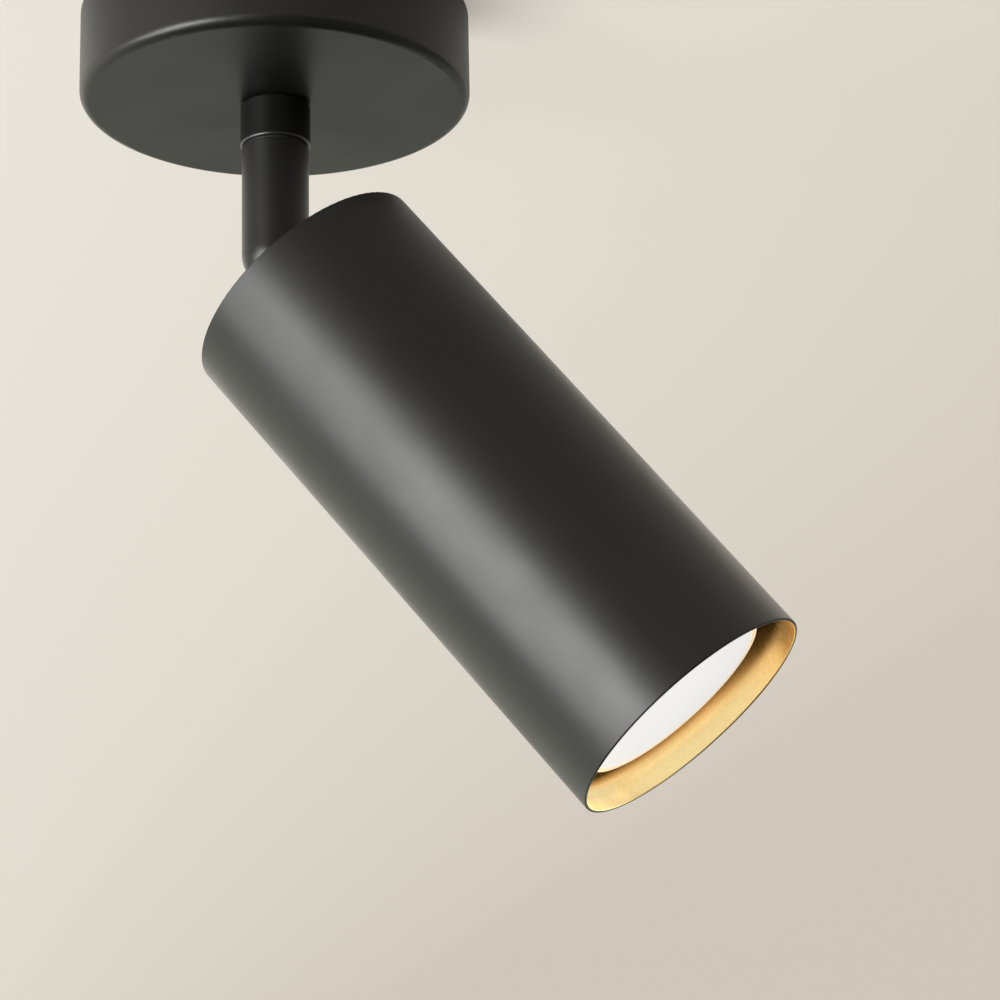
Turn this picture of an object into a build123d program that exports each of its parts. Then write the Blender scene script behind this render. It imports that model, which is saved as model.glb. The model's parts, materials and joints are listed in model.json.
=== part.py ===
from build123d import *
from math import cos, pi, radians, sin, sqrt, tan
import os

os.makedirs("parts", exist_ok=True)

# Ceiling canopy spotlight with a panning stem and a tilting tube head.
# Millimetres, +Z up, origin at the centre of the ceiling face.
# The head is stored leaning towards +X, and its tilt pin lies along Y.

# Canopy cup
canopy_d = 100.0
canopy_h = 23.6
canopy_wall = 1.2
canopy_edge_r = 2.5
canopy_inner_edge_r = 1.3

# Ceiling bracket, a steel strip along Y with two ends turned down
bracket_w = 18.0
bracket_t = 1.5
bracket_bend_r = 1.5
tab_drop = 16.0
tab_gap = 0.4
tab_corner_r = 3.0
slot_spacing = 60.0
slot_len = 16.0
slot_w = 5.0
cable_hole_d = 10.0

# Side screws that hold the canopy to the bracket
side_screw_d = 4.0
side_screw_len = 8.0
side_screw_drop = 10.0
side_screw_head_d = 7.0
side_screw_head_h = 2.2
side_screw_round = 0.9
recess_w = 0.9
recess_len = 4.2
recess_depth = 1.0

# Two-pole terminal block under the bracket
block_w = 18.0
block_len = 14.0
block_h = 11.0
block_round = 1.5
block_y = 13.0
pole_pitch = 9.0
pole_groove_w = 1.6
pole_groove_depth = 2.5
wire_hole_d = 3.4
wire_hole_drop = 5.5
pole_screw_d = 3.2
pole_screw_len = 3.0
pole_screw_row = 7.0
pole_screw_sink = 0.8
fixing_d = 2.5
fixing_head_d = 4.6
fixing_head_h = 1.8

# Earth screw on the bracket
earth_y = -13.0
earth_d = 4.0
earth_head_d = 7.5
earth_head_h = 2.8
earth_washer_d = 9.0
earth_washer_t = 1.0

# Fixed collar and the nut that holds it to the canopy
collar_h = 11.6
collar_lip = 0.4
collar_edge_r = 0.5
collar_top_chamfer = 0.8
nipple_d = 10.0
nipple_bore_d = 7.0
nipple_tail = 1.5
lock_washer_d = 18.0
lock_washer_t = 0.8
lock_washer_teeth = 12
lock_tooth_depth = 1.5
lock_tooth_w = 1.8
nut_flats = 14.0
nut_h = 4.0

# Swivel between the collar and the stem
seam_gap = 0.5
spigot_step = 1.9
spigot_h = 7.2
swivel_gap = 0.08
ring_drop = 3.2
ring_t = 1.2
ring_bite = 0.8
ring_stand = 0.5
ring_split = 3.0
swivel_washer_step = 0.6
stop_pin_d = 1.2
stop_pin_h = 1.0
stop_pin_sink = 2.0
stop_inset = 1.75
stop_room = 0.3

# Stem with its slotted round end
stem_d = 17.1
stem_bore_d = 7.0
bore_into_slot = 3.2
stem_chamfer = 0.3
pivot_drop = 29.4

# Tilt pin, friction washers and tongue
pin_d = 4.0
pin_head_d = 7.0
pin_head_h = 2.0
pin_head_seat = 5.2
pin_thread = 4.0
pin_end_room = 0.5
pin_drive_w = 1.0
pin_drive_depth = 0.9
tilt_washer_d = 11.0
tilt_washer_t = 0.4
tongue_t = 5.0
tongue_w = 12.0
tongue_gap = 0.2
flange_gap = 0.5
lead_groove_w = 2.6
lead_groove_depth = 2.4
lead_hole_d = 2.6
lead_hole_reach = 10.0

# Head tube and cap
head_tilt = 38.9
head_drop = 13.0
head_d = 66.0
head_len = 149.0
head_wall = 0.8
head_edge_r = 0.3
cap_inset = 1.0
cap_t = 2.0
cap_skirt_h = 9.0
cap_skirt_t = 1.2
cap_chamfer = 0.6
cap_fit = 0.05

# Lampholder bracket, a bent strip under the cap
strap_w = 16.0
strap_t = 1.2
strap_bend_r = 1.0
strap_leg_x = 25.0
strap_top_reach = 11.0
strap_end_margin = 4.0
strap_lead_hole_d = 9.0

# Ceramic twist-lock lampholder
holder_w = 30.0
holder_depth = 18.0
holder_h = 22.0
holder_corner_r = 6.0
holder_edge_r = 0.8
holder_plate = 3.6
holder_screw_pitch = 22.0
holder_screw_d = 3.0
holder_screw_len = 8.0
holder_screw_head_d = 5.5
holder_screw_head_h = 2.0
twist_angle = 20.0
contact_t = 0.6
contact_w = 4.4

# Reflector lamp
lamp_d = 53.0
lamp_recess = 6.7
lamp_len = 46.5
lamp_base_d = 27.0
lamp_base_h = 15.0
lamp_base_chamfer = 1.5
lamp_wall = 1.3
lamp_band = 3.0
lamp_ring_w = 2.0
lamp_ring_h = 3.0
lamp_lens_t = 1.6
lamp_pin_pitch = 10.0
lamp_pin_len = 7.0
lamp_pin_shank_d = 3.2
lamp_pin_head_d = 4.8
lamp_pin_head_h = 2.6

# Insulated leads
lead_d = 2.0
lead_x = 2.1
lead_insert = 2.5
lead_run_out = 3.0
lead_bend_r = 2.4

# Shared clearances
thread_gap = 0.05
run_gap = 0.05
hole_gap = 0.2
clear_gap = 0.4

# Levels down from the ceiling
canopy_r = canopy_d / 2
canopy_inner_r = canopy_r - canopy_wall
underside_z = -canopy_h
floor_z = underside_z + canopy_wall
seam_z = underside_z - collar_h
stem_top_z = seam_z - seam_gap
pivot_z = seam_z - pivot_drop
tab_y = sqrt(canopy_inner_r**2 - (bracket_w / 2) ** 2) - tab_gap

# Head frame: origin on the tilt pin, local Z up the tube towards the pin
tilt = radians(head_tilt)
head = Plane(
    origin=(0, 0, pivot_z),
    x_dir=(cos(tilt), 0, sin(tilt)),
    z_dir=(-sin(tilt), 0, cos(tilt)),
)
head_side = Plane(origin=head.origin, x_dir=head.x_dir, z_dir=(0, -1, 0))
head_axis = Axis(head.origin, head.z_dir)

# Canopy: spun steel cup, open towards the ceiling
nipple_hole_r = nipple_d / 2 + hole_gap
with BuildPart() as canopy:
    with BuildSketch(Plane.XZ) as canopy_profile:
        with BuildLine():
            Polyline(
                (nipple_hole_r, underside_z),
                (canopy_r, underside_z),
                (canopy_r, 0),
                (canopy_inner_r, 0),
                (canopy_inner_r, floor_z),
                (nipple_hole_r, floor_z),
                close=True,
            )
        make_face()
        outer_corner = canopy_profile.vertices().sort_by_distance((canopy_r, underside_z))[0]
        fillet(outer_corner, canopy_edge_r)
        inner_corner = canopy_profile.vertices().sort_by_distance((canopy_inner_r, floor_z))[0]
        fillet(inner_corner, canopy_inner_edge_r)
    revolve(axis=Axis.Z)
    with BuildSketch(Plane.XZ):
        with Locations((0, -side_screw_drop)):
            Circle(side_screw_d / 2 + hole_gap)
    extrude(amount=canopy_d, both=True, mode=Mode.SUBTRACT)
canopy.part.label = "canopy"
export_step(canopy.part, "parts/canopy.step")

# Ceiling bracket with slots for the ceiling screws
with BuildPart() as ceiling_bracket:
    with BuildSketch(Plane.YZ) as bracket_profile:
        with BuildLine():
            Polyline(
                (-tab_y, -tab_drop),
                (-tab_y, 0),
                (tab_y, 0),
                (tab_y, -tab_drop),
                (tab_y - bracket_t, -tab_drop),
                (tab_y - bracket_t, -bracket_t),
                (bracket_t - tab_y, -bracket_t),
                (bracket_t - tab_y, -tab_drop),
                close=True,
            )
        make_face()
        outer_bends = bracket_profile.vertices().group_by(Axis.Y)[-1]
        fillet(outer_bends, bracket_bend_r + bracket_t)
        for side in (-1, 1):
            bend = (side * (tab_y - bracket_t), -bracket_t)
            fillet(bracket_profile.vertices().sort_by_distance(bend)[0], bracket_bend_r)
    extrude(amount=bracket_w / 2, both=True)
    tab_corners = ceiling_bracket.edges().filter_by(Axis.Y).group_by(Axis.Z)[0]
    fillet(tab_corners, tab_corner_r)
    with BuildSketch(Plane.XY):
        with Locations((0, slot_spacing / 2), (0, -slot_spacing / 2)):
            SlotOverall(slot_len, slot_w, rotation=90)
        Circle(cable_hole_d / 2)
        with Locations((0, block_y)):
            Circle(fixing_d / 2 + thread_gap)
        with Locations((0, earth_y)):
            Circle(earth_d / 2 + thread_gap)
    extrude(amount=-bracket_t, mode=Mode.SUBTRACT)
    with BuildSketch(Plane.XZ):
        with Locations((0, -side_screw_drop)):
            Circle(side_screw_d / 2 + thread_gap)
    extrude(amount=canopy_r, both=True, mode=Mode.SUBTRACT)
ceiling_bracket.part.label = "ceiling_bracket"
export_step(ceiling_bracket.part, "parts/ceiling_bracket.step")

# Side screws, one on each side of the canopy
with BuildPart() as canopy_screws:
    with BuildSketch(Plane.XZ.offset(canopy_r)):
        with Locations((0, -side_screw_drop)):
            Circle(side_screw_d / 2)
    extrude(amount=-side_screw_len)
    with BuildSketch(Plane.XZ.offset(canopy_r)):
        with Locations((0, -side_screw_drop)):
            Circle(side_screw_head_d / 2)
    extrude(amount=side_screw_head_h)
    fillet(canopy_screws.faces().sort_by(Axis.Y)[0].edges(), side_screw_round)
    with BuildSketch(Plane.XZ.offset(canopy_r + side_screw_head_h)):
        with Locations((0, -side_screw_drop)):
            Rectangle(recess_len, recess_w)
            Rectangle(recess_w, recess_len)
    extrude(amount=-recess_depth, mode=Mode.SUBTRACT)
    mirror(about=Plane.XZ)
canopy_screws.part.label = "canopy_screws"
export_step(canopy_screws.part, "parts/canopy_screws.step")

# Terminal block, screwed to the underside of the bracket
block_base_z = -bracket_t - block_h
poles = [(-pole_pitch / 2, block_y), (pole_pitch / 2, block_y)]
pole_screws = [(x, block_y + y) for x, _ in poles for y in (-pole_screw_row / 2, pole_screw_row / 2)]
with BuildPart() as terminal_block:
    with BuildSketch(Plane.XY.offset(-bracket_t)):
        with Locations((0, block_y)):
            RectangleRounded(block_w, block_len, block_round)
    extrude(amount=-block_h)
    with BuildSketch(Plane.XY.offset(block_base_z)):
        with Locations((0, block_y)):
            Rectangle(pole_groove_w, block_len)
    extrude(amount=pole_groove_depth, mode=Mode.SUBTRACT)
    with BuildSketch(Plane.XY.offset(block_base_z)):
        with Locations(*pole_screws):
            Circle(pole_screw_d / 2 + thread_gap)
    extrude(amount=pole_screw_sink + pole_screw_len, mode=Mode.SUBTRACT)
    with BuildSketch(Plane.XY.offset(block_base_z)):
        with Locations((0, block_y)):
            Circle(fixing_head_d / 2 + hole_gap)
    extrude(amount=pole_groove_depth + fixing_head_h, mode=Mode.SUBTRACT)
    with BuildSketch(Plane.XY.offset(block_base_z)):
        with Locations((0, block_y)):
            Circle(fixing_d / 2 + hole_gap)
    extrude(amount=block_h, mode=Mode.SUBTRACT)
    with BuildSketch(Plane.XZ.offset(-block_y)):
        with Locations(*[(x, -bracket_t - wire_hole_drop) for x, _ in poles]):
            Circle(wire_hole_d / 2)
    extrude(amount=block_len / 2, both=True, mode=Mode.SUBTRACT)
terminal_block.part.label = "terminal_block"
export_step(terminal_block.part, "parts/terminal_block.step")

# Clamping screws of the terminal block
with BuildPart() as terminal_screws:
    with BuildSketch(Plane.XY.offset(block_base_z + pole_screw_sink)):
        with Locations(*pole_screws):
            Circle(pole_screw_d / 2)
    extrude(amount=pole_screw_len)
    with BuildSketch(Plane.XY.offset(block_base_z + pole_screw_sink)):
        with Locations(*pole_screws):
            Rectangle(pole_screw_d, recess_w)
    extrude(amount=recess_depth, mode=Mode.SUBTRACT)
terminal_screws.part.label = "terminal_screws"
export_step(terminal_screws.part, "parts/terminal_screws.step")

# Screw that fixes the terminal block to the bracket
fixing_head_z = block_base_z + pole_groove_depth + fixing_head_h
with BuildPart() as terminal_fixing:
    with BuildSketch(Plane.XY.offset(fixing_head_z)):
        with Locations((0, block_y)):
            Circle(fixing_d / 2)
    extrude(amount=-fixing_head_z)
    with BuildSketch(Plane.XY.offset(fixing_head_z)):
        with Locations((0, block_y)):
            Circle(fixing_head_d / 2)
    extrude(amount=-fixing_head_h)
    with BuildSketch(Plane.XY.offset(fixing_head_z - fixing_head_h)):
        with Locations((0, block_y)):
            Rectangle(fixing_head_d, recess_w)
    extrude(amount=recess_depth, mode=Mode.SUBTRACT)
terminal_fixing.part.label = "terminal_fixing"
export_step(terminal_fixing.part, "parts/terminal_fixing.step")

# Earth washer and earth screw on the other side of the cable hole
with BuildPart() as earth_washer:
    with BuildSketch(Plane.XY.offset(-bracket_t)):
        with Locations((0, earth_y)):
            Circle(earth_washer_d / 2)
            Circle(earth_d / 2 + hole_gap, mode=Mode.SUBTRACT)
    extrude(amount=-earth_washer_t)
earth_washer.part.label = "earth_washer"
export_step(earth_washer.part, "parts/earth_washer.step")

earth_head_z = -bracket_t - earth_washer_t
with BuildPart() as earth_screw:
    with BuildSketch(Plane.XY.offset(earth_head_z)):
        with Locations((0, earth_y)):
            Circle(earth_d / 2)
    extrude(amount=-earth_head_z)
    with BuildSketch(Plane.XY.offset(earth_head_z)):
        with Locations((0, earth_y)):
            Circle(earth_head_d / 2)
    extrude(amount=-earth_head_h)
    with BuildSketch(Plane.XY.offset(earth_head_z - earth_head_h)):
        with Locations((0, earth_y)):
            Rectangle(earth_head_d, recess_w)
    extrude(amount=recess_depth, mode=Mode.SUBTRACT)
earth_screw.part.label = "earth_screw"
export_step(earth_screw.part, "parts/earth_screw.step")

# Fixed collar: nipple through the canopy, bore for the stem's spigot
stem_r = stem_d / 2
collar_r = stem_r + collar_lip
spigot_r = stem_r - spigot_step
spigot_bore_r = spigot_r + swivel_gap
spigot_top_z = stem_top_z + spigot_h
ring_z = spigot_top_z - ring_drop
ring_outer_r = spigot_r + ring_stand
collar_ceiling_z = spigot_top_z + stop_pin_h + stop_room
nipple_top_z = floor_z + lock_washer_t + nut_h + nipple_tail
stop_r = spigot_r - stop_inset
with BuildPart() as collar:
    with BuildSketch(Plane.XZ) as collar_profile:
        with BuildLine():
            Polyline(
                (nipple_bore_d / 2, nipple_top_z),
                (nipple_d / 2, nipple_top_z),
                (nipple_d / 2, underside_z),
                (collar_r, underside_z),
                (collar_r, seam_z),
                (spigot_bore_r, seam_z),
                (spigot_bore_r, ring_z - clear_gap),
                (ring_outer_r + hole_gap, ring_z - clear_gap),
                (ring_outer_r + hole_gap, ring_z + ring_t + clear_gap),
                (spigot_bore_r, ring_z + ring_t + clear_gap),
                (spigot_bore_r, collar_ceiling_z),
                (nipple_bore_d / 2, collar_ceiling_z),
                close=True,
            )
        make_face()
        seam_corner = collar_profile.vertices().sort_by_distance((collar_r, seam_z))[0]
        fillet(seam_corner, collar_edge_r)
        top_corner = collar_profile.vertices().sort_by_distance((collar_r, underside_z))[0]
        chamfer(top_corner, collar_top_chamfer)
    revolve(axis=Axis.Z)
    with BuildSketch(Plane.XY.offset(collar_ceiling_z)):
        with Locations((-stop_r, 0)):
            Circle(stop_pin_d / 2)
    extrude(amount=stop_pin_sink, mode=Mode.SUBTRACT)
collar.part.label = "collar"
export_step(collar.part, "parts/collar.step")

# Stop pin that limits the swivel
with BuildPart() as stop_pin:
    with BuildSketch(Plane.XY.offset(collar_ceiling_z - stop_pin_h)):
        with Locations((-stop_r, 0)):
            Circle(stop_pin_d / 2)
    extrude(amount=stop_pin_h + stop_pin_sink)
stop_pin.part.label = "stop_pin"
export_step(stop_pin.part, "parts/stop_pin.step")

# Toothed washer and nut inside the canopy
with BuildPart() as collar_washer:
    with BuildSketch(Plane.XY.offset(floor_z)):
        Circle(lock_washer_d / 2)
        Circle(nipple_hole_r, mode=Mode.SUBTRACT)
        with PolarLocations(lock_washer_d / 2, lock_washer_teeth):
            Rectangle(2 * lock_tooth_depth, lock_tooth_w, mode=Mode.SUBTRACT)
    extrude(amount=lock_washer_t)
collar_washer.part.label = "collar_washer"
export_step(collar_washer.part, "parts/collar_washer.step")

nut_corner_r = nut_flats / sqrt(3)
nut_bevel = (nut_corner_r - nut_flats / 2) * tan(pi / 6)
nut_base_z = floor_z + lock_washer_t
with BuildPart() as collar_nut:
    with BuildSketch(Plane.XY.offset(nut_base_z)):
        RegularPolygon(nut_corner_r, 6)
        Circle(nipple_d / 2 + thread_gap, mode=Mode.SUBTRACT)
    extrude(amount=nut_h)
    with BuildSketch(Plane.XZ):
        with BuildLine():
            Polyline(
                (nut_flats / 2, nut_base_z + nut_h),
                (nut_corner_r, nut_base_z + nut_h),
                (nut_corner_r, nut_base_z + nut_h - nut_bevel),
                close=True,
            )
        make_face()
    revolve(axis=Axis.Z, mode=Mode.SUBTRACT)
collar_nut.part.label = "collar_nut"
export_step(collar_nut.part, "parts/collar_nut.step")

# Leads from the terminal block down into the nipple
block_face_y = block_y - block_len / 2
lead_split_z = nipple_top_z - lead_insert
with BuildPart() as canopy_leads:
    for side in (-1, 1):
        start = (side * pole_pitch / 2, block_face_y + lead_insert, -bracket_t - wire_hole_drop)
        with BuildLine():
            FilletPolyline(
                start,
                (side * pole_pitch / 2, block_face_y - lead_run_out, start[2]),
                (side * lead_x, 0, start[2] - lead_d),
                (side * lead_x, 0, lead_split_z),
                radius=lead_bend_r,
            )
        with BuildSketch(Plane(origin=start, x_dir=(1, 0, 0), z_dir=(0, -1, 0))):
            Circle(lead_d / 2)
        sweep()
canopy_leads.part.label = "canopy_leads"
export_step(canopy_leads.part, "parts/canopy_leads.step")

# Stem: swivel spigot on top, slotted round end below
fork_slot_w = tongue_t + 2 * (tilt_washer_t + run_gap)
fork_slot_r = tongue_w / 2 + tongue_gap
with BuildPart() as stem:
    with BuildSketch(Plane.XZ) as stem_profile:
        with BuildLine():
            Polyline(
                (0, pivot_z - stem_r),
                (0, spigot_top_z),
                (spigot_r, spigot_top_z),
                (spigot_r, ring_z + ring_t + run_gap),
                (spigot_r - ring_bite, ring_z + ring_t + run_gap),
                (spigot_r - ring_bite, ring_z - run_gap),
                (spigot_r, ring_z - run_gap),
                (spigot_r, stem_top_z),
                (stem_r, stem_top_z),
                (stem_r, pivot_z),
            )
            RadiusArc((stem_r, pivot_z), (0, pivot_z - stem_r), stem_r)
        make_face()
        shoulder = stem_profile.vertices().sort_by_distance((stem_r, stem_top_z))[0]
        chamfer(shoulder, stem_chamfer)
    revolve(axis=Axis.Z)
    with BuildSketch(Plane.XY.offset(spigot_top_z)):
        with Locations((stop_r, 0)):
            Circle(stop_pin_d / 2)
    extrude(amount=stop_pin_h)
    with BuildSketch(Plane.XY.offset(spigot_top_z)):
        Circle(stem_bore_d / 2)
    extrude(amount=pivot_z + fork_slot_r - bore_into_slot - spigot_top_z, mode=Mode.SUBTRACT)
    with BuildSketch(Plane.XZ) as fork_slot:
        with BuildLine():
            Polyline(
                (-fork_slot_r, pivot_z - stem_d),
                (stem_d, pivot_z - stem_d),
                (stem_d, pivot_z + fork_slot_r),
                (-fork_slot_r, pivot_z + fork_slot_r),
                close=True,
            )
        make_face()
        slot_corner = fork_slot.vertices().sort_by_distance((-fork_slot_r, pivot_z + fork_slot_r))[0]
        fillet(slot_corner, fork_slot_r)
    extrude(amount=fork_slot_w / 2, both=True, mode=Mode.SUBTRACT)
    with BuildSketch(Plane.XZ.offset(-stem_d)):
        with Locations((0, pivot_z)):
            Circle(pin_d / 2 + thread_gap)
    extrude(amount=stem_d + fork_slot_w / 2 + pin_thread, mode=Mode.SUBTRACT)
    with BuildSketch(Plane.XZ.offset(-stem_d)):
        with Locations((0, pivot_z)):
            Circle(pin_head_d / 2 + hole_gap)
    extrude(amount=stem_d - pin_head_seat, mode=Mode.SUBTRACT)
stem.part.label = "stem"
export_step(stem.part, "parts/stem.step")

# Thin washer in the swivel seam
with BuildPart() as swivel_washer:
    with BuildSketch(Plane.XY.offset(stem_top_z)):
        Circle(stem_r - swivel_washer_step)
        Circle(spigot_r + swivel_gap, mode=Mode.SUBTRACT)
    extrude(amount=seam_gap - run_gap)
swivel_washer.part.label = "swivel_washer"
export_step(swivel_washer.part, "parts/swivel_washer.step")

# Split ring that keeps the spigot in the collar
with BuildPart() as swivel_ring:
    with BuildSketch(Plane.XY.offset(ring_z)):
        Circle(ring_outer_r)
        Circle(spigot_r - ring_bite + run_gap, mode=Mode.SUBTRACT)
        with Locations((0, ring_outer_r)):
            Rectangle(ring_split, ring_outer_r, mode=Mode.SUBTRACT)
    extrude(amount=ring_t)
swivel_ring.part.label = "swivel_ring"
export_step(swivel_ring.part, "parts/swivel_ring.step")

# Tilt pin, screwed in from the far side of the fork
with BuildPart() as tilt_pin:
    with BuildSketch(Plane.XZ.offset(-pin_head_seat)):
        with Locations((0, pivot_z)):
            Circle(pin_d / 2)
    extrude(amount=pin_head_seat + fork_slot_w / 2 + pin_thread - pin_end_room)
    with BuildSketch(Plane.XZ.offset(-pin_head_seat)):
        with Locations((0, pivot_z)):
            Circle(pin_head_d / 2)
    extrude(amount=-pin_head_h)
    with BuildSketch(Plane.XZ.offset(-pin_head_seat - pin_head_h)):
        with Locations((0, pivot_z)):
            Rectangle(pin_head_d, pin_drive_w)
    extrude(amount=pin_drive_depth, mode=Mode.SUBTRACT)
tilt_pin.part.label = "tilt_pin"
export_step(tilt_pin.part, "parts/tilt_pin.step")

# Friction washers on both sides of the tongue
with BuildPart() as tilt_washers:
    with BuildSketch(Plane.XZ.offset(fork_slot_w / 2)):
        with Locations((0, pivot_z)):
            Circle(tilt_washer_d / 2)
            Circle(pin_d / 2 + run_gap, mode=Mode.SUBTRACT)
    extrude(amount=-tilt_washer_t)
    mirror(about=Plane.XZ)
tilt_washers.part.label = "tilt_washers"
export_step(tilt_washers.part, "parts/tilt_washers.step")

# Leads inside the stem
lead_stop_z = pivot_z + fork_slot_r + clear_gap
with BuildPart() as stem_leads:
    with BuildSketch(Plane.XY.offset(lead_stop_z)):
        with Locations((-lead_x, 0), (lead_x, 0)):
            Circle(lead_d / 2)
    extrude(amount=lead_split_z - clear_gap - lead_stop_z)
stem_leads.part.label = "stem_leads"
export_step(stem_leads.part, "parts/stem_leads.step")

# Knuckle: tongue on the tilt pin, flange on the cap and threaded nipple into the head
flange_top = -stem_r - flange_gap
cap_top = -head_drop - cap_inset
cap_under = cap_top - cap_t
strap_under = cap_under - strap_t
head_nut_z = strap_under - lock_washer_t
head_nipple_end = head_nut_z - nut_h - nipple_tail
lead_hole_top = (lead_groove_depth / 2 - tongue_w / 2, flange_top)
lead_hole_low = (0, flange_top - lead_hole_reach)
with BuildPart() as knuckle:
    with BuildSketch(head_side):
        Circle(tongue_w / 2)
        with Locations((0, flange_top / 2)):
            Rectangle(tongue_w, -flange_top)
    extrude(amount=tongue_t / 2, both=True)
    with BuildSketch(head_side):
        Circle(tongue_w / 2)
        with Locations((0, -tongue_w / 2)):
            Rectangle(tongue_w, tongue_w, mode=Mode.SUBTRACT)
        with Locations((lead_groove_depth / 2 - tongue_w / 2, flange_top / 2)):
            Rectangle(lead_groove_depth, -flange_top)
        Circle(tongue_w / 2 - lead_groove_depth, mode=Mode.SUBTRACT)
    extrude(amount=lead_groove_w / 2, both=True, mode=Mode.SUBTRACT)
    with BuildSketch(head.offset(flange_top)):
        Circle(stem_r)
    extrude(amount=cap_top - flange_top)
    with BuildSketch(head.offset(cap_top)):
        Circle(nipple_d / 2)
    extrude(amount=head_nipple_end - cap_top)
    with BuildSketch(head.offset(head_nipple_end)):
        Circle(nipple_bore_d / 2)
    extrude(amount=cap_top - head_nipple_end, mode=Mode.SUBTRACT)
    with BuildSketch(head_side):
        with BuildLine():
            Line(lead_hole_top, lead_hole_low)
        trace(line_width=lead_hole_d)
    extrude(amount=lead_groove_w / 2, both=True, mode=Mode.SUBTRACT)
    with BuildSketch(head_side):
        Circle(pin_d / 2 + run_gap)
    extrude(amount=tongue_t, both=True, mode=Mode.SUBTRACT)
knuckle.part.label = "knuckle"
export_step(knuckle.part, "parts/knuckle.step")

# Head tube, open at the mouth
head_r = head_d / 2
head_inner_r = head_r - head_wall
mouth = -head_drop - head_len
with BuildPart() as head_tube:
    with BuildSketch(head_side) as tube_profile:
        with Locations(((head_r + head_inner_r) / 2, (mouth - head_drop) / 2)):
            Rectangle(head_wall, head_len)
        fillet(tube_profile.vertices(), head_edge_r)
    revolve(axis=head_axis)
head_tube.part.label = "head_tube"
export_step(head_tube.part, "parts/head_tube.step")

# Head cap, pressed into the top of the tube
cap_r = head_inner_r - cap_fit
with BuildPart() as head_cap:
    with BuildSketch(head_side) as cap_profile:
        with BuildLine():
            Polyline(
                (nipple_hole_r, cap_top),
                (cap_r, cap_top),
                (cap_r, cap_top - cap_skirt_h),
                (cap_r - cap_skirt_t, cap_top - cap_skirt_h),
                (cap_r - cap_skirt_t, cap_under),
                (nipple_hole_r, cap_under),
                close=True,
            )
        make_face()
        chamfer(cap_profile.vertices().sort_by_distance((cap_r, cap_top))[0], cap_chamfer)
    revolve(axis=head_axis)
head_cap.part.label = "head_cap"
export_step(head_cap.part, "parts/head_cap.step")

# Lampholder bracket, clamped under the cap and bent round to carry the lampholder
lamp_face = mouth + lamp_recess
lamp_seat = lamp_face + lamp_len
holder_front = lamp_seat + clear_gap
holder_back = holder_front + holder_h
strap_end_x = holder_screw_pitch / 2 + strap_end_margin
holder_screws_at = [(-holder_screw_pitch / 2, 0), (holder_screw_pitch / 2, 0)]
with BuildPart() as holder_bracket:
    with BuildSketch(head_side) as strap_profile:
        with BuildLine():
            Polyline(
                (strap_top_reach, cap_under),
                (-strap_leg_x, cap_under),
                (-strap_leg_x, holder_back),
                (strap_end_x, holder_back),
                (strap_end_x, holder_back + strap_t),
                (strap_t - strap_leg_x, holder_back + strap_t),
                (strap_t - strap_leg_x, strap_under),
                (strap_top_reach, strap_under),
                close=True,
            )
        make_face()
        for bend_z in (cap_under, holder_back):
            bend = (-strap_leg_x, bend_z)
            fillet(strap_profile.vertices().sort_by_distance(bend)[0], strap_bend_r + strap_t)
        for bend_z in (strap_under, holder_back + strap_t):
            bend = (strap_t - strap_leg_x, bend_z)
            fillet(strap_profile.vertices().sort_by_distance(bend)[0], strap_bend_r)
    extrude(amount=strap_w / 2, both=True)
    with BuildSketch(head.offset(strap_under)):
        Circle(nipple_hole_r)
    extrude(amount=strap_t, mode=Mode.SUBTRACT)
    with BuildSketch(head.offset(holder_back)):
        Circle(strap_lead_hole_d / 2)
        with Locations(*holder_screws_at):
            Circle(holder_screw_d / 2 + hole_gap)
    extrude(amount=strap_t, mode=Mode.SUBTRACT)
holder_bracket.part.label = "holder_bracket"
export_step(holder_bracket.part, "parts/holder_bracket.step")

# Toothed washer and nut inside the head
with BuildPart() as head_washer:
    with BuildSketch(head.offset(head_nut_z)):
        Circle(lock_washer_d / 2)
        Circle(nipple_hole_r, mode=Mode.SUBTRACT)
        with PolarLocations(lock_washer_d / 2, lock_washer_teeth):
            Rectangle(2 * lock_tooth_depth, lock_tooth_w, mode=Mode.SUBTRACT)
    extrude(amount=lock_washer_t)
head_washer.part.label = "head_washer"
export_step(head_washer.part, "parts/head_washer.step")

with BuildPart() as head_nut:
    with BuildSketch(head.offset(head_nut_z)):
        RegularPolygon(nut_corner_r, 6)
        Circle(nipple_d / 2 + thread_gap, mode=Mode.SUBTRACT)
    extrude(amount=-nut_h)
    with BuildSketch(head_side):
        with BuildLine():
            Polyline(
                (nut_flats / 2, head_nut_z - nut_h),
                (nut_corner_r, head_nut_z - nut_h),
                (nut_corner_r, head_nut_z - nut_h + nut_bevel),
                close=True,
            )
        make_face()
    revolve(axis=head_axis, mode=Mode.SUBTRACT)
head_nut.part.label = "head_nut"
export_step(head_nut.part, "parts/head_nut.step")

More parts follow.
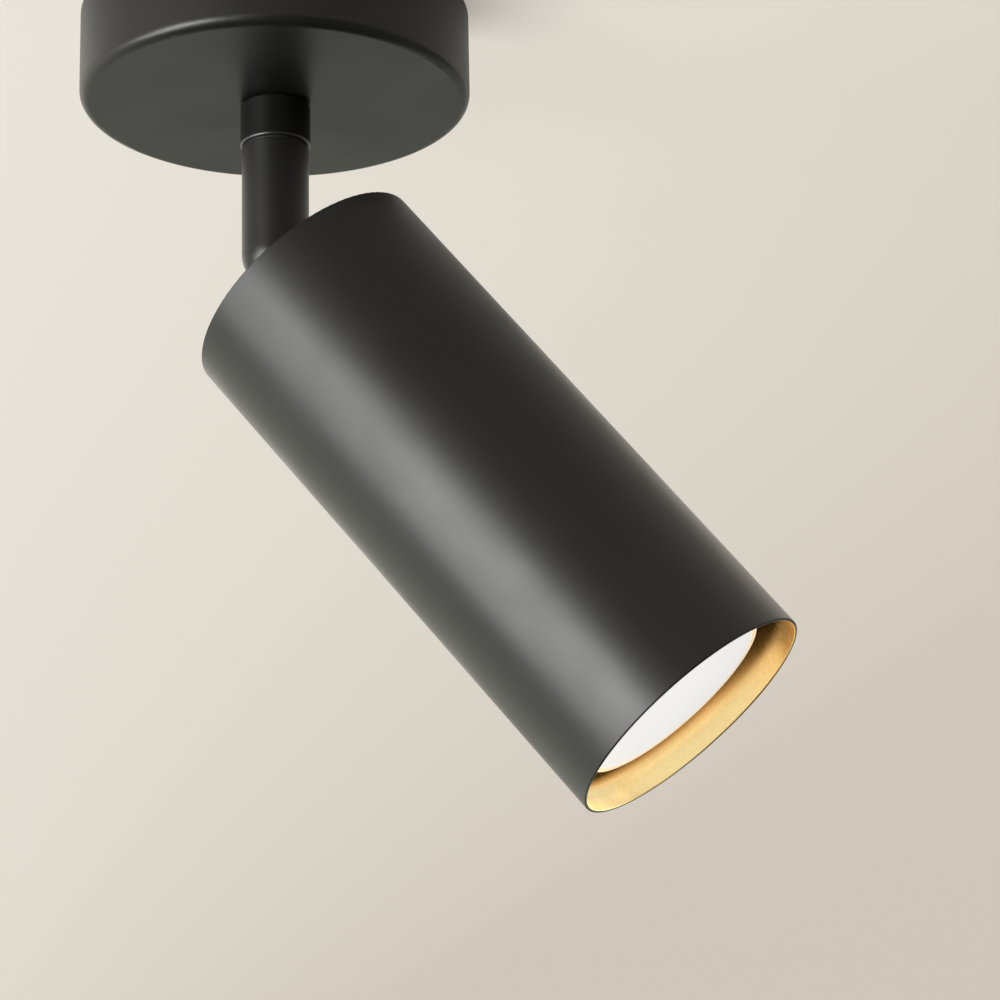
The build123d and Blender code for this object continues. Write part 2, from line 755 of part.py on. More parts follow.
# Ceramic lampholder with curved twist-lock slots
pin_r = lamp_pin_pitch / 2
chamber_h = lamp_pin_len + contact_t
twist_ends = [-twist_angle, 180 - twist_angle]
with BuildPart() as lampholder:
    with BuildSketch(head.offset(holder_front)):
        RectangleRounded(holder_w, holder_depth, holder_corner_r)
    extrude(amount=holder_h)
    front_edges = lampholder.faces().sort_by(head_axis)[0].edges()
    fillet(front_edges, holder_edge_r)
    for end in twist_ends:
        with BuildSketch(head.offset(holder_front)):
            with BuildLine(mode=Mode.PRIVATE) as shank_path:
                CenterArc((0, 0), pin_r, end, twist_angle)
            SlotArc(shank_path.line.edge(), lamp_pin_shank_d + 2 * clear_gap)
            with PolarLocations(pin_r, 1, start_angle=end):
                Circle(lamp_pin_head_d / 2 + clear_gap)
        extrude(amount=holder_plate, mode=Mode.SUBTRACT)
        with BuildSketch(head.offset(holder_front + holder_plate)):
            with BuildLine(mode=Mode.PRIVATE) as head_path:
                CenterArc((0, 0), pin_r, end, twist_angle)
            SlotArc(head_path.line.edge(), lamp_pin_head_d + 2 * clear_gap)
        extrude(amount=chamber_h - holder_plate, mode=Mode.SUBTRACT)
    with BuildSketch(head.offset(holder_back)):
        with Locations(*holder_screws_at):
            Circle(holder_screw_d / 2 + thread_gap)
    extrude(amount=-holder_screw_len, mode=Mode.SUBTRACT)
    with BuildSketch(head.offset(holder_back)):
        with Locations((-lead_x, 0), (lead_x, 0)):
            Circle(lead_d / 2 + hole_gap)
    extrude(amount=-lead_insert, mode=Mode.SUBTRACT)
lampholder.part.label = "lampholder"
export_step(lampholder.part, "parts/lampholder.step")

# Contact plates at the top of the lampholder's pin chambers
with BuildPart() as holder_contacts:
    for end in twist_ends:
        with BuildSketch(head.offset(holder_front + chamber_h)):
            with BuildLine(mode=Mode.PRIVATE) as contact_path:
                CenterArc((0, 0), pin_r, end, twist_angle)
            SlotArc(contact_path.line.edge(), contact_w)
        extrude(amount=-contact_t)
holder_contacts.part.label = "holder_contacts"
export_step(holder_contacts.part, "parts/holder_contacts.step")

# Screws that hold the lampholder to its bracket
strap_top = holder_back + strap_t
with BuildPart() as holder_screws:
    with BuildSketch(head.offset(strap_top)):
        with Locations(*holder_screws_at):
            Circle(holder_screw_d / 2)
    extrude(amount=-holder_screw_len)
    with BuildSketch(head.offset(strap_top)):
        with Locations(*holder_screws_at):
            Circle(holder_screw_head_d / 2)
    extrude(amount=holder_screw_head_h)
    with BuildSketch(head.offset(strap_top + holder_screw_head_h)):
        with Locations(*holder_screws_at):
            Rectangle(holder_screw_head_d, recess_w)
    extrude(amount=-recess_depth, mode=Mode.SUBTRACT)
holder_screws.part.label = "holder_screws"
export_step(holder_screws.part, "parts/holder_screws.step")

# Leads from the knuckle's nipple to the lampholder
with BuildPart() as head_leads:
    with BuildSketch(head.offset(holder_back - lead_insert + clear_gap)):
        with Locations((-lead_x, 0), (lead_x, 0)):
            Circle(lead_d / 2)
    extrude(amount=cap_under - holder_back + lead_insert - clear_gap)
head_leads.part.label = "head_leads"
export_step(head_leads.part, "parts/head_leads.step")

# Lamp base with a bevelled top edge
lamp_r = lamp_d / 2
lamp_base_low = lamp_seat - lamp_base_h
with BuildPart() as lamp_base:
    with BuildSketch(head.offset(lamp_seat)):
        Circle(lamp_base_d / 2)
    extrude(amount=-lamp_base_h)
    chamfer(lamp_base.faces().sort_by(head_axis)[-1].edges(), lamp_base_chamfer)
lamp_base.part.label = "lamp_base"
export_step(lamp_base.part, "parts/lamp_base.step")

# Lamp pins with their locking heads
lamp_pins_at = [(-pin_r, 0), (pin_r, 0)]
with BuildPart() as lamp_pins:
    with BuildSketch(head.offset(lamp_seat)):
        with Locations(*lamp_pins_at):
            Circle(lamp_pin_shank_d / 2)
    extrude(amount=lamp_pin_len)
    with BuildSketch(head.offset(lamp_seat + lamp_pin_len - lamp_pin_head_h)):
        with Locations(*lamp_pins_at):
            Circle(lamp_pin_head_d / 2)
    extrude(amount=lamp_pin_head_h)
lamp_pins.part.label = "lamp_pins"
export_step(lamp_pins.part, "parts/lamp_pins.step")

# Lamp housing, a thin cone from the base to a short band behind the ring
ring_back = lamp_face + lamp_ring_h
with BuildPart() as lamp_housing:
    with BuildSketch(head_side):
        with BuildLine():
            Polyline(
                (lamp_base_d / 2, lamp_base_low),
                (lamp_r, ring_back + lamp_band),
                (lamp_r, ring_back),
                (lamp_r - lamp_wall, ring_back),
                (lamp_r - lamp_wall, ring_back + lamp_band),
                (lamp_base_d / 2 - lamp_wall, lamp_base_low),
                close=True,
            )
        make_face()
    revolve(axis=head_axis)
lamp_housing.part.label = "lamp_housing"
export_step(lamp_housing.part, "parts/lamp_housing.step")

# Clear ring round the lamp's face
with BuildPart() as lamp_ring:
    with BuildSketch(head_side) as ring_profile:
        with Locations((lamp_r - lamp_ring_w / 2, lamp_face + lamp_ring_h / 2)):
            Rectangle(lamp_ring_w, lamp_ring_h)
        outer_edge = ring_profile.vertices().sort_by_distance((lamp_r, lamp_face))[0]
        fillet(outer_edge, lamp_ring_w / 2)
    revolve(axis=head_axis)
lamp_ring.part.label = "lamp_ring"
export_step(lamp_ring.part, "parts/lamp_ring.step")

# Frosted lens of the lamp
with BuildPart() as lamp_lens:
    with BuildSketch(head.offset(lamp_face)):
        Circle(lamp_r - lamp_ring_w - thread_gap)
    extrude(amount=lamp_lens_t)
lamp_lens.part.label = "lamp_lens"
export_step(lamp_lens.part, "parts/lamp_lens.step")
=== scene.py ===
import json
from math import cos, radians, sin

import bpy
from mathutils import Matrix, Vector

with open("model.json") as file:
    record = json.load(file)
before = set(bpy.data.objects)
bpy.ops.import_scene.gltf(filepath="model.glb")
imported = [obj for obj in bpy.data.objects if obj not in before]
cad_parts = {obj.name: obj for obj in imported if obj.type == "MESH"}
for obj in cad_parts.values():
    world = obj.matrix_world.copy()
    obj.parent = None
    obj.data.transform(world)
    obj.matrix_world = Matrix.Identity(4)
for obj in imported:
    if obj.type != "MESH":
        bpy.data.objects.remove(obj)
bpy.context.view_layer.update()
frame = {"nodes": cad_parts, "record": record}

# Sizes from the CAD model, in metres
PIVOT = (0.0, 0.0, -0.0646)
SEAM_Z = -0.0352
HEAD_TILT = radians(38.9)
HEAD_AXIS = (sin(HEAD_TILT), 0.0, -cos(HEAD_TILT))
HEAD_ACROSS = (cos(HEAD_TILT), 0.0, sin(HEAD_TILT))
TUBE_INNER_R = 0.0322
LAMP_R = 0.0265
LENS_R = 0.0245
LAMP_FACE_ALONG = 0.1553
CAP_ALONG = 0.0150

# Slack on the tube's inner radius, so that all of the inner face counts as inside
TUBE_INNER_SLACK = 0.00012

# Camera at the photograph's viewing angle
CAMERA_AT = (0.1993, -0.7201, -0.3484)
CAMERA_YAW = radians(-11.208)
CAMERA_PITCH = radians(16.300)
CAMERA_ROLL = radians(-1.235)
CAMERA_LENS = 112.94
CAMERA_SENSOR = 36.0

# Stage, in metres: a ceiling just above the part and a floor far below
STAGE_SIZE = 12.0
CEILING_Z = 0.0006
FLOOR_Z = -1.4

# Key lights, square, aimed at the middle of the head
HEAD_MIDDLE = (0.05, 0.0, -0.125)
KEY_SIZE = 0.55
KEY_FRONT_AT = (-0.645, -1.031, -0.256)
KEY_FRONT_WATTS = 13.0
KEY_LEFT_AT = (-0.934, -0.672, -0.511)
KEY_LEFT_WATTS = 8.6

# Colours, linear
BLACK_COAT = (0.007, 0.007, 0.0066, 1.0)
GOLD_LACQUER = (0.94, 0.76, 0.37, 1.0)
# Gold on the upper side, painted warmer and darker: a painted shade
GOLD_PAINTED_SHADE = (0.94, 0.70, 0.32, 1.0)
# Colours of the glow painted on the gold as emission, a painted light
GOLD_LIT = (1.0, 0.83, 0.43, 1.0)
GOLD_DEEP = (1.0, 0.50, 0.14, 1.0)
BACKDROP = (0.80, 0.765, 0.69, 1.0)
# Ceiling tones near and far; the fall between them is a painted shade
CEILING_NEAR = (0.755, 0.719, 0.650, 1.0)
CEILING_FAR = (0.588, 0.529, 0.462, 1.0)
LAMP_WHITE = (0.97, 0.975, 1.0, 1.0)
LENS_FROST = (0.9, 0.89, 0.87, 1.0)
RING_PEACH = (0.80, 0.56, 0.37, 1.0)
RING_CREAM = (0.88, 0.80, 0.68, 1.0)
RING_CLEAR = (0.93, 0.80, 0.66, 1.0)
ROOM_LIGHT = (0.99, 1.0, 0.87, 1.0)

# Strength of the world's own tone, as the camera sees it
ROOM_SEEN_STRENGTH = 0.95

# Powder coat
PEEL_STRENGTH = 0.22
GRAIN_STRENGTH = 0.30
COAT_ROUGHNESS = (0.36, 0.43)
COAT_SHEEN = 0.5
STEM_SHEEN = 0.40
COLLAR_SHEEN = 0.14
# Sheen raised in a band along the collar's edge above the seam, a painted highlight line
EDGE_HIGHLIGHT_SHEEN = 1.0
EDGE_HIGHLIGHT_BAND = (SEAM_Z + 0.0004, SEAM_Z + 0.0008)

# Gold lacquer, smoother than the coat
GOLD_PEEL_STRENGTH = 0.03
GOLD_GRAIN_STRENGTH = 0.10
GOLD_ROUGHNESS = (0.22, 0.30)

# Painted light: glow painted on the gold as emission for the lamp's light, along the tube, in
# metres ahead of the lamp's face
GLOW_ONSET = (-0.0024, -0.0003)
GLOW_PASSES_LAMP = (0.0, 0.0024)
GLOW_PALES = (-0.0015, 0.0012)

# Painted glow of the gold across the tube, in metres from its axis: start, end and the value at
# each
UPPER_SIDE = (0.014, 0.026)
GLOW_WARMS = (-0.010, 0.020)
FRONT_LOWER = (-0.0295, -0.0225, 0.74, 0.14)
FRONT_LOWEST = (-0.0318, -0.0300, 0.65, 1.0)
FRONT_UPPER_EXTRA = 0.06
BESIDE_LOWER = (-0.029, -0.012, 0.80, 0.52)
BESIDE_UPPER = (0.005, 0.0235, 1.0, 0.0)

# Strength of the lens at its middle and edge, and of the ring round it, which fades backwards
LENS_STRENGTH = (0.695, 0.67)
RING_STRENGTH = 0.85
RING_FADE_DEPTH = 0.0014

# Ceiling, painted shade: the direction in which it darkens, and the stretch over which it does
ROOM_SLOPE = (0.909, 0.417, 0.0)
ROOM_STRETCH = (-0.117, 0.447)

# Ceiling as the part mirrors it: start, end and the tone at each, in metres to the back or right
CLOSE_BACKWARD = (-0.09, 0.05, 0.40, 0.80)
CLOSE_RIGHTWARD = (-0.07, 0.03, 1.75, 0.9)
DISTANT_BACKWARD = (0.10, 0.17, 0.0, 0.9)
DISTANT_RIGHTWARD = (0.12, 0.25, 0.0, 0.35)

# Contact shade, only on the side of the canopy that the light leaves in shade
CONTACT_REACH = 0.032
LEE_SIDE = (0.966, -0.259, 0.0)
LEE_FADE = (0.72, 0.95)

# Share of the paint's colour that takes light, so that the stage hardly lights the part
CEILING_SHARE = 0.15
FLOOR_SHARE = 0.02
PAINT_ROUGHNESS = 0.9
PAINT_SHEEN = 0.1

# Most of a noise's values lie in this range
NOISE_RANGE = (0.3, 0.7)


class Surface:
    """A procedural material: one Principled shader and the nodes that feed it."""

    def __init__(self, name):
        self.material = bpy.data.materials.new(name)
        self.material.use_nodes = True
        self.nodes = self.material.node_tree.nodes
        self.links = self.material.node_tree.links
        self.shader = self.nodes["Principled BSDF"]
        self.position = self.nodes.new("ShaderNodeTexCoord").outputs["Object"]

    def set(self, **values):
        for socket, value in values.items():
            self.shader.inputs[socket.replace("_", " ")].default_value = value

    def feed(self, socket, output):
        self.links.new(output, self.shader.inputs[socket])

    def noise(self, scale, detail=3.0, roughness=0.5, stretch=None):
        place = self.position
        if stretch:
            mapping = self.nodes.new("ShaderNodeMapping")
            mapping.inputs["Scale"].default_value = stretch
            self.links.new(place, mapping.inputs["Vector"])
            place = mapping.outputs["Vector"]
        node = self.nodes.new("ShaderNodeTexNoise")
        node.inputs["Scale"].default_value = scale
        node.inputs["Detail"].default_value = detail
        node.inputs["Roughness"].default_value = roughness
        self.links.new(place, node.inputs["Vector"])
        return node.outputs["Fac"]

    def span(self, value, low, high, out_low=0.0, out_high=1.0):
        """Maps low to high onto out_low to out_high, and holds the ends."""
        node = self.nodes.new("ShaderNodeMapRange")
        self.links.new(value, node.inputs["Value"])
        sockets = ("From Min", "From Max", "To Min", "To Max")
        for socket, number in zip(sockets, (low, high, out_low, out_high)):
            node.inputs[socket].default_value = number
        return node.outputs["Result"]

    def spread(self, noise, low, high):
        """Maps a noise onto low to high."""
        return self.span(noise, *NOISE_RANGE, low, high)

    def blend(self, factor, first, second):
        node = self.nodes.new("ShaderNodeMix")
        node.data_type = "RGBA"
        self.links.new(factor, node.inputs["Factor"])
        for socket, colour in ((node.inputs[6], first), (node.inputs[7], second)):
            if isinstance(colour, tuple):
                socket.default_value = colour
            else:
                self.links.new(colour, socket)
        return node.outputs[2]

    def math(self, operation, first, second):
        node = self.nodes.new("ShaderNodeMath")
        node.operation = operation
        for socket, value in zip(node.inputs, (first, second)):
            if isinstance(value, (int, float)):
                socket.default_value = value
            else:
                self.links.new(value, socket)
        return node.outputs["Value"]

    def product(self, first, second):
        return self.math("MULTIPLY", first, second)

    def bump(self, *heights):
        """Stacks bumps given as (height output, distance in metres, strength)."""
        below = None
        for height, distance, strength in heights:
            node = self.nodes.new("ShaderNodeBump")
            node.inputs["Distance"].default_value = distance
            if isinstance(strength, float):
                node.inputs["Strength"].default_value = strength
            else:
                self.links.new(strength, node.inputs["Strength"])
            self.links.new(height, node.inputs["Height"])
            if below:
                self.links.new(below, node.inputs["Normal"])
            below = node.outputs["Normal"]
        self.feed("Normal", below)

    def vector(self, operation, first, second=None):
        node = self.nodes.new("ShaderNodeVectorMath")
        node.operation = operation
        for socket, value in zip(node.inputs, (first, second)):
            if value is None:
                continue
            if isinstance(value, tuple):
                socket.default_value = value
            else:
                self.links.new(value, socket)
        return node.outputs["Value" if operation in ("LENGTH", "DOT_PRODUCT") else "Vector"]

    def distance(self, direction):
        """Distance from the part's origin along a direction."""
        return self.vector("DOT_PRODUCT", self.position, direction)

    def from_pivot(self):
        return self.vector("SUBTRACT", self.position, PIVOT)

    def axis_radius(self):
        """Distance from the head's axis."""
        return self.vector("LENGTH", self.vector("CROSS_PRODUCT", self.from_pivot(), HEAD_AXIS))

    def axis_length(self):
        """Distance from the tilt pin along the head's axis."""
        return self.vector("DOT_PRODUCT", self.from_pivot(), HEAD_AXIS)

    def across(self):
        """Distance from the head's axis towards its upper side."""
        return self.vector("DOT_PRODUCT", self.from_pivot(), HEAD_ACROSS)


def shade(colour, factor):
    return tuple(c * factor for c in colour[:3]) + (1.0,)


def mottle(surface, noise, colour, darkest, lightest):
    """A colour that varies with a noise between two shades of itself."""
    return surface.blend(noise, shade(colour, darkest), shade(colour, lightest))


def powder_coat(surface, peel_strength=PEEL_STRENGTH, grain_strength=GRAIN_STRENGTH):
    """Fine grain, a slight orange peel and cloudy sheen. Gives colour, roughness and clouds."""
    grain = surface.noise(scale=2600.0, detail=2.0)
    peel = surface.noise(scale=420.0, detail=2.0)
    cloud = surface.noise(scale=38.0)
    surface.bump((peel, 0.00006, peel_strength), (grain, 0.00003, grain_strength))
    colour = mottle(surface, grain, BLACK_COAT, darkest=0.75, lightest=1.3)
    return colour, surface.spread(cloud, *COAT_ROUGHNESS), cloud


def black_coat(name, sheen=COAT_SHEEN):
    surface = Surface(name)
    colour, roughness, _ = powder_coat(surface)
    surface.feed("Base Color", colour)
    surface.feed("Roughness", roughness)
    surface.set(Specular_IOR_Level=sheen)
    return surface.material


def collar_coat(name):
    """Dull powder coat, with its sheen raised in a band along the edge above the seam: a painted
    highlight line.
    """
    surface = Surface(name)
    colour, roughness, _ = powder_coat(surface)
    height = surface.distance((0.0, 0.0, 1.0))
    surface.feed("Base Color", colour)
    surface.feed("Roughness", roughness)
    # Painted highlight: sheen raised along the edge above the seam
    sheen = surface.span(height, *EDGE_HIGHLIGHT_BAND, EDGE_HIGHLIGHT_SHEEN, COLLAR_SHEEN)
    surface.feed("Specular IOR Level", sheen)
    return surface.material


def lamp_glow(surface, along, across, upper):
    """Painted light: a glow painted onto the gold as emission, for light that the lamp scatters
    onto it. Gives its colour and strength.
    """

    def ahead_of_lamp(start, end):
        return surface.span(along, LAMP_FACE_ALONG + start, LAMP_FACE_ALONG + end)

    lit = ahead_of_lamp(*GLOW_ONSET)
    ahead = ahead_of_lamp(*GLOW_PASSES_LAMP)
    lower = surface.span(across, *FRONT_LOWER)
    extra = surface.span(upper, 0.0, 1.0, 0.0, FRONT_UPPER_EXTRA)
    front = surface.product(surface.math("ADD", lower, extra), surface.span(across, *FRONT_LOWEST))
    beside = surface.product(
        surface.span(across, *BESIDE_LOWER), surface.span(across, *BESIDE_UPPER)
    )
    behind = surface.span(ahead, 0.0, 1.0, 1.0, 0.0)
    glow = surface.math("ADD", surface.product(ahead, front), surface.product(behind, beside))
    front_colour = surface.blend(surface.span(across, *GLOW_WARMS), GOLD_LIT, GOLD_DEEP)
    colour = surface.blend(ahead_of_lamp(*GLOW_PALES), GOLD_DEEP, front_colour)
    return colour, surface.product(lit, glow)


def tube_coat(name):
    """Black powder coat outside, satin gold lacquer inside, with the lamp's glow painted on it as
    emission.
    """
    surface = Surface(name)
    along = surface.axis_length()
    within = surface.math("LESS_THAN", surface.axis_radius(), TUBE_INNER_R + TUBE_INNER_SLACK)
    inside = surface.product(within, surface.math("GREATER_THAN", along, CAP_ALONG))
    peel_strength = surface.span(inside, 0.0, 1.0, PEEL_STRENGTH, GOLD_PEEL_STRENGTH)
    grain_strength = surface.span(inside, 0.0, 1.0, GRAIN_STRENGTH, GOLD_GRAIN_STRENGTH)
    black, dull, cloud = powder_coat(surface, peel_strength, grain_strength)
    across = surface.across()
    upper = surface.span(across, *UPPER_SIDE)
    lacquer = mottle(surface, cloud, GOLD_LACQUER, darkest=0.92, lightest=1.06)
    # The upper side of the gold is painted warmer and darker, a painted shade
    gold = surface.blend(upper, lacquer, GOLD_PAINTED_SHADE)
    fine_grain = surface.noise(scale=700.0, detail=4.0, roughness=0.6)
    satin = surface.spread(fine_grain, *GOLD_ROUGHNESS)
    smoother = surface.product(inside, surface.math("SUBTRACT", satin, dull))
    glow_colour, glow_strength = lamp_glow(surface, along, across, upper)
    surface.feed("Base Color", surface.blend(inside, black, gold))
    surface.feed("Metallic", inside)
    surface.feed("Roughness", surface.math("ADD", dull, smoother))
    # Painted light: the lamp's glow on the gold, as emission
    surface.feed("Emission Color", glow_colour)
    surface.feed("Emission Strength", surface.product(inside, glow_strength))
    surface.set(Specular_IOR_Level=COAT_SHEEN)
    return surface.material


def plated_steel(name, colour, roughness, stretch=None):
    """Plated steel with fine drawn lines and faint clouding."""
    surface = Surface(name)
    lines = surface.noise(scale=900.0, detail=4.0, roughness=0.6, stretch=stretch)
    cloud = surface.noise(scale=70.0)
    surface.feed("Base Color", mottle(surface, cloud, colour, darkest=0.86, lightest=1.08))
    surface.feed("Roughness", surface.spread(lines, roughness - 0.07, roughness + 0.09))
    surface.bump((lines, 0.00002, 0.25))
    surface.set(Metallic=1.0)
    return surface.material


def moulded(name, colour, roughness, grain_scale=1500.0, sheen=0.5):
    """Moulded plastic, silicone or ceramic with a fine grain."""
    surface = Surface(name)
    grain = surface.noise(scale=grain_scale)
    cloud = surface.noise(scale=60.0, detail=2.0)
    surface.feed("Base Color", mottle(surface, cloud, colour, darkest=0.93, lightest=1.03))
    surface.feed("Roughness", surface.spread(grain, roughness - 0.05, roughness + 0.06))
    surface.bump((grain, 0.00003, 0.25))
    surface.set(Specular_IOR_Level=sheen)
    return surface.material


def lamp_light(name):
    """Lit frosted lens, a little brighter in the middle."""
    surface = Surface(name)
    frost = surface.noise(scale=1800.0, detail=2.0)
    strength = surface.span(surface.axis_radius(), 0.0, LENS_R, *LENS_STRENGTH)
    surface.feed("Emission Strength", strength)
    surface.feed("Roughness", surface.spread(frost, 0.45, 0.6))
    surface.bump((frost, 0.00003, 0.2))
    surface.set(Base_Color=LENS_FROST, Emission_Color=LAMP_WHITE)
    return surface.material


def lamp_clear(name):
    """Clear moulded rim that takes up the lamp's warm light."""
    surface = Surface(name)
    ripple = surface.noise(scale=500.0, detail=2.0)
    outward = surface.span(surface.axis_radius(), LENS_R, LAMP_R)
    fade = (LAMP_FACE_ALONG - RING_FADE_DEPTH, LAMP_FACE_ALONG)
    strength = surface.span(surface.axis_length(), *fade, 0.0, RING_STRENGTH)
    surface.feed("Emission Color", surface.blend(outward, RING_PEACH, RING_CREAM))
    surface.feed("Emission Strength", strength)
    surface.feed("Roughness", surface.spread(ripple, 0.12, 0.24))
    surface.bump((ripple, 0.00004, 0.2))
    surface.set(Base_Color=RING_CLEAR)
    return surface.material


ALONG_Y = (1.0, 0.06, 1.0)
materials = {
    "black_coat": black_coat("black_powder_coat"),
    "tube_coat": tube_coat("tube_coat_gold_inside"),
    "black_screw": plated_steel("blackened_steel", (0.045, 0.045, 0.048, 1.0), 0.42),
    "zinc_steel": plated_steel("zinc_sheet_steel", (0.62, 0.63, 0.64, 1.0), 0.38, ALONG_Y),
    "fastener_steel": plated_steel("bright_plated_steel", (0.66, 0.66, 0.65, 1.0), 0.30),
    "contact_brass": plated_steel("plain_brass", (0.78, 0.58, 0.26, 1.0), 0.32),
    "terminal_plastic": moulded("natural_polyamide", (0.82, 0.81, 0.77, 1.0), 0.45),
    "washer_nylon": moulded("dark_nylon", (0.02, 0.02, 0.02, 1.0), 0.5),
    "lead_insulation": moulded("silicone_sleeving", (0.80, 0.79, 0.75, 1.0), 0.55, 2200.0),
    "holder_ceramic": moulded("unglazed_steatite", (0.86, 0.85, 0.81, 1.0), 0.6, 1100.0, 0.35),
    "lamp_shell": moulded("white_moulded_shell", (0.85, 0.85, 0.84, 1.0), 0.35),
    "lamp_clear": lamp_clear("clear_lamp_rim"),
    "lamp_light": lamp_light("lit_frosted_lens"),
}

# Two pieces have their own version of the black coat
own_coats = {
    "collar": collar_coat("collar_powder_coat"),
    "stem": black_coat("stem_powder_coat", STEM_SHEEN),
}

for part in frame["record"]["subparts"]:
    name = part["node"]
    node = frame["nodes"][name]
    node.data.materials.clear()
    node.data.materials.append(own_coats.get(name, materials[part["material_slot"]]))


def plane(name, height, facing_down):
    half = STAGE_SIZE / 2
    corners = [(-half, -half), (half, -half), (half, half), (-half, half)]
    if facing_down:
        corners.reverse()
    mesh = bpy.data.meshes.new(name)
    mesh.from_pydata([(x, y, height) for x, y in corners], [], [(0, 1, 2, 3)])
    made = bpy.data.objects.new(name, mesh)
    bpy.context.scene.collection.objects.link(made)
    made.visible_diffuse = False
    made.visible_shadow = False
    return made


def mirrored_tone(surface):
    """Brightness of the room as the part mirrors it, by place."""
    rightward = surface.distance((1.0, 0.0, 0.0))
    backward = surface.distance((0.0, 1.0, 0.0))
    close = surface.product(
        surface.span(backward, *CLOSE_BACKWARD), surface.span(rightward, *CLOSE_RIGHTWARD)
    )
    distant_back = surface.span(backward, *DISTANT_BACKWARD)
    distant_right = surface.span(rightward, *DISTANT_RIGHTWARD)
    return surface.math("ADD", close, surface.math("ADD", distant_back, distant_right))


def contact_shade(surface):
    """1 in the open, darker close to the part on its lee side."""
    occlusion = surface.nodes.new("ShaderNodeAmbientOcclusion")
    occlusion.inputs["Distance"].default_value = CONTACT_REACH
    outward = surface.vector("NORMALIZE", surface.position)
    lee = surface.vector("DOT_PRODUCT", outward, LEE_SIDE)
    hidden = surface.math("SUBTRACT", 1.0, occlusion.outputs["AO"])
    return surface.math("SUBTRACT", 1.0, surface.product(hidden, surface.span(lee, *LEE_FADE)))


def backdrop(name, near, far, share, one_sided):
    """Pale paint with a glow that darkens across the room, a painted shade. A one-sided plane is
    clear from behind.
    """
    surface = Surface(name)
    nodes, links = surface.nodes, surface.links
    along = surface.span(surface.distance(ROOM_SLOPE), *ROOM_STRETCH)
    path = nodes.new("ShaderNodeLightPath").outputs
    seen = surface.math("ADD", path["Is Camera Ray"], path["Is Transmission Ray"])
    mirrored = surface.product(path["Is Glossy Ray"], mirrored_tone(surface))
    strength = surface.product(surface.math("ADD", seen, mirrored), contact_shade(surface))
    # Painted shade: the glow darkens across the room
    surface.feed("Emission Color", surface.blend(along, near, far))
    surface.feed("Emission Strength", strength)
    surface.set(
        Base_Color=shade(BACKDROP, share),
        Roughness=PAINT_ROUGHNESS,
        Specular_IOR_Level=PAINT_SHEEN,
    )
    if one_sided:
        clear = nodes.new("ShaderNodeBsdfTransparent")
        side = nodes.new("ShaderNodeNewGeometry")
        mix = nodes.new("ShaderNodeMixShader")
        links.new(side.outputs["Backfacing"], mix.inputs["Fac"])
        links.new(surface.shader.outputs["BSDF"], mix.inputs[1])
        links.new(clear.outputs["BSDF"], mix.inputs[2])
        links.new(mix.outputs["Shader"], nodes["Material Output"].inputs["Surface"])
    return surface.material


ceiling = plane("stage_ceiling", CEILING_Z, True)
ceiling.data.materials.append(
    backdrop("stage_ceiling_paint", CEILING_NEAR, CEILING_FAR, CEILING_SHARE, True)
)
floor_near = shade(BACKDROP, 0.95)
floor_far = shade(BACKDROP, 0.92)
floor = plane("stage_floor", FLOOR_Z, False)
floor.data.materials.append(
    backdrop("stage_floor_paint", floor_near, floor_far, FLOOR_SHARE, False)
)
floor.visible_glossy = False


def softbox(name, at, watts):
    light = bpy.data.lights.new(name, "AREA")
    light.shape = "RECTANGLE"
    light.size = KEY_SIZE
    light.size_y = KEY_SIZE
    light.energy = watts
    made = bpy.data.objects.new(name, light)
    made.location = at
    made.rotation_mode = "QUATERNION"
    made.rotation_quaternion = (Vector(HEAD_MIDDLE) - Vector(at)).to_track_quat("-Z", "Y")
    bpy.context.scene.collection.objects.link(made)


softbox("key_front", KEY_FRONT_AT, KEY_FRONT_WATTS)
softbox("key_left", KEY_LEFT_AT, KEY_LEFT_WATTS)

# World: soft light from above, the back left, the back and the right. The camera sees an even tone
world = bpy.data.worlds.new("studio")
bpy.context.scene.world = world
world.use_nodes = True
nodes, links = world.node_tree.nodes, world.node_tree.links
direction = nodes.new("ShaderNodeTexCoord").outputs["Generated"]


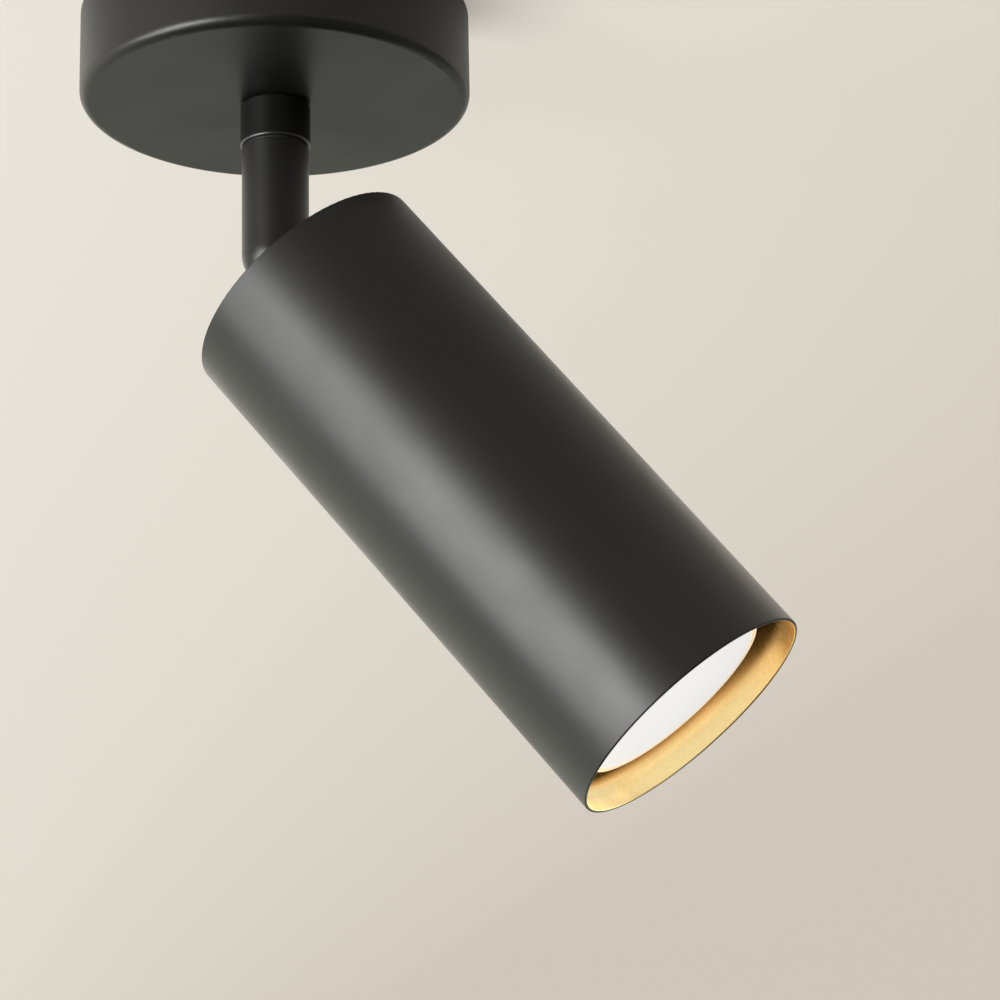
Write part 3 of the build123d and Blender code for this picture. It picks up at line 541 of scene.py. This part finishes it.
def lobe(axis, start, end, strength):
    """Light that grows from none to its strength as the direction nears an axis."""
    facing = nodes.new("ShaderNodeVectorMath")
    facing.operation = "DOT_PRODUCT"
    facing.inputs[1].default_value = axis
    links.new(direction, facing.inputs[0])
    ramp = nodes.new("ShaderNodeMapRange")
    ramp.interpolation_type = "SMOOTHSTEP"
    ramp.inputs["From Min"].default_value = start
    ramp.inputs["From Max"].default_value = end
    ramp.inputs["To Max"].default_value = strength
    links.new(facing.outputs["Value"], ramp.inputs["Value"])
    return ramp.outputs["Result"]


def total(first, second):
    node = nodes.new("ShaderNodeMath")
    links.new(first, node.inputs[0])
    links.new(second, node.inputs[1])
    return node.outputs["Value"]


above = lobe(axis=(0.0, 0.0, 1.0), start=-0.05, end=0.1, strength=0.43)
back_left = lobe(axis=(-0.930, 0.339, -0.139), start=0.45, end=1.0, strength=1.1)
back = lobe(axis=(0.081, 0.923, -0.375), start=0.75, end=1.0, strength=0.62)
right_fill = lobe(axis=(0.91, 0.24, -0.34), start=0.5, end=1.0, strength=0.25)
light = nodes["Background"]
light.inputs["Color"].default_value = ROOM_LIGHT
links.new(total(total(above, back_left), total(back, right_fill)), light.inputs["Strength"])
seen = nodes.new("ShaderNodeBackground")
seen.inputs["Color"].default_value = BACKDROP
seen.inputs["Strength"].default_value = ROOM_SEEN_STRENGTH
pick = nodes.new("ShaderNodeMixShader")
links.new(nodes.new("ShaderNodeLightPath").outputs["Is Camera Ray"], pick.inputs["Fac"])
links.new(light.outputs["Background"], pick.inputs[1])
links.new(seen.outputs["Background"], pick.inputs[2])
links.new(pick.outputs["Shader"], nodes["World Output"].inputs["Surface"])

# Camera
forward = Vector((
    sin(CAMERA_YAW) * cos(CAMERA_PITCH),
    cos(CAMERA_YAW) * cos(CAMERA_PITCH),
    sin(CAMERA_PITCH),
))
level = Vector((cos(CAMERA_YAW), -sin(CAMERA_YAW), 0.0))
upright = level.cross(forward)
right = level * cos(CAMERA_ROLL) + upright * sin(CAMERA_ROLL)
up = upright * cos(CAMERA_ROLL) - level * sin(CAMERA_ROLL)
turn = Matrix((right, up, -forward)).transposed()
lens = bpy.data.cameras.new("camera")
lens.lens = CAMERA_LENS
lens.sensor_width = CAMERA_SENSOR
camera = bpy.data.objects.new("camera", lens)
camera.matrix_world = Matrix.Translation(CAMERA_AT) @ turn.to_4x4()
bpy.context.scene.collection.objects.link(camera)
bpy.context.scene.camera = camera
bpy.context.scene.view_settings.view_transform = "Standard"
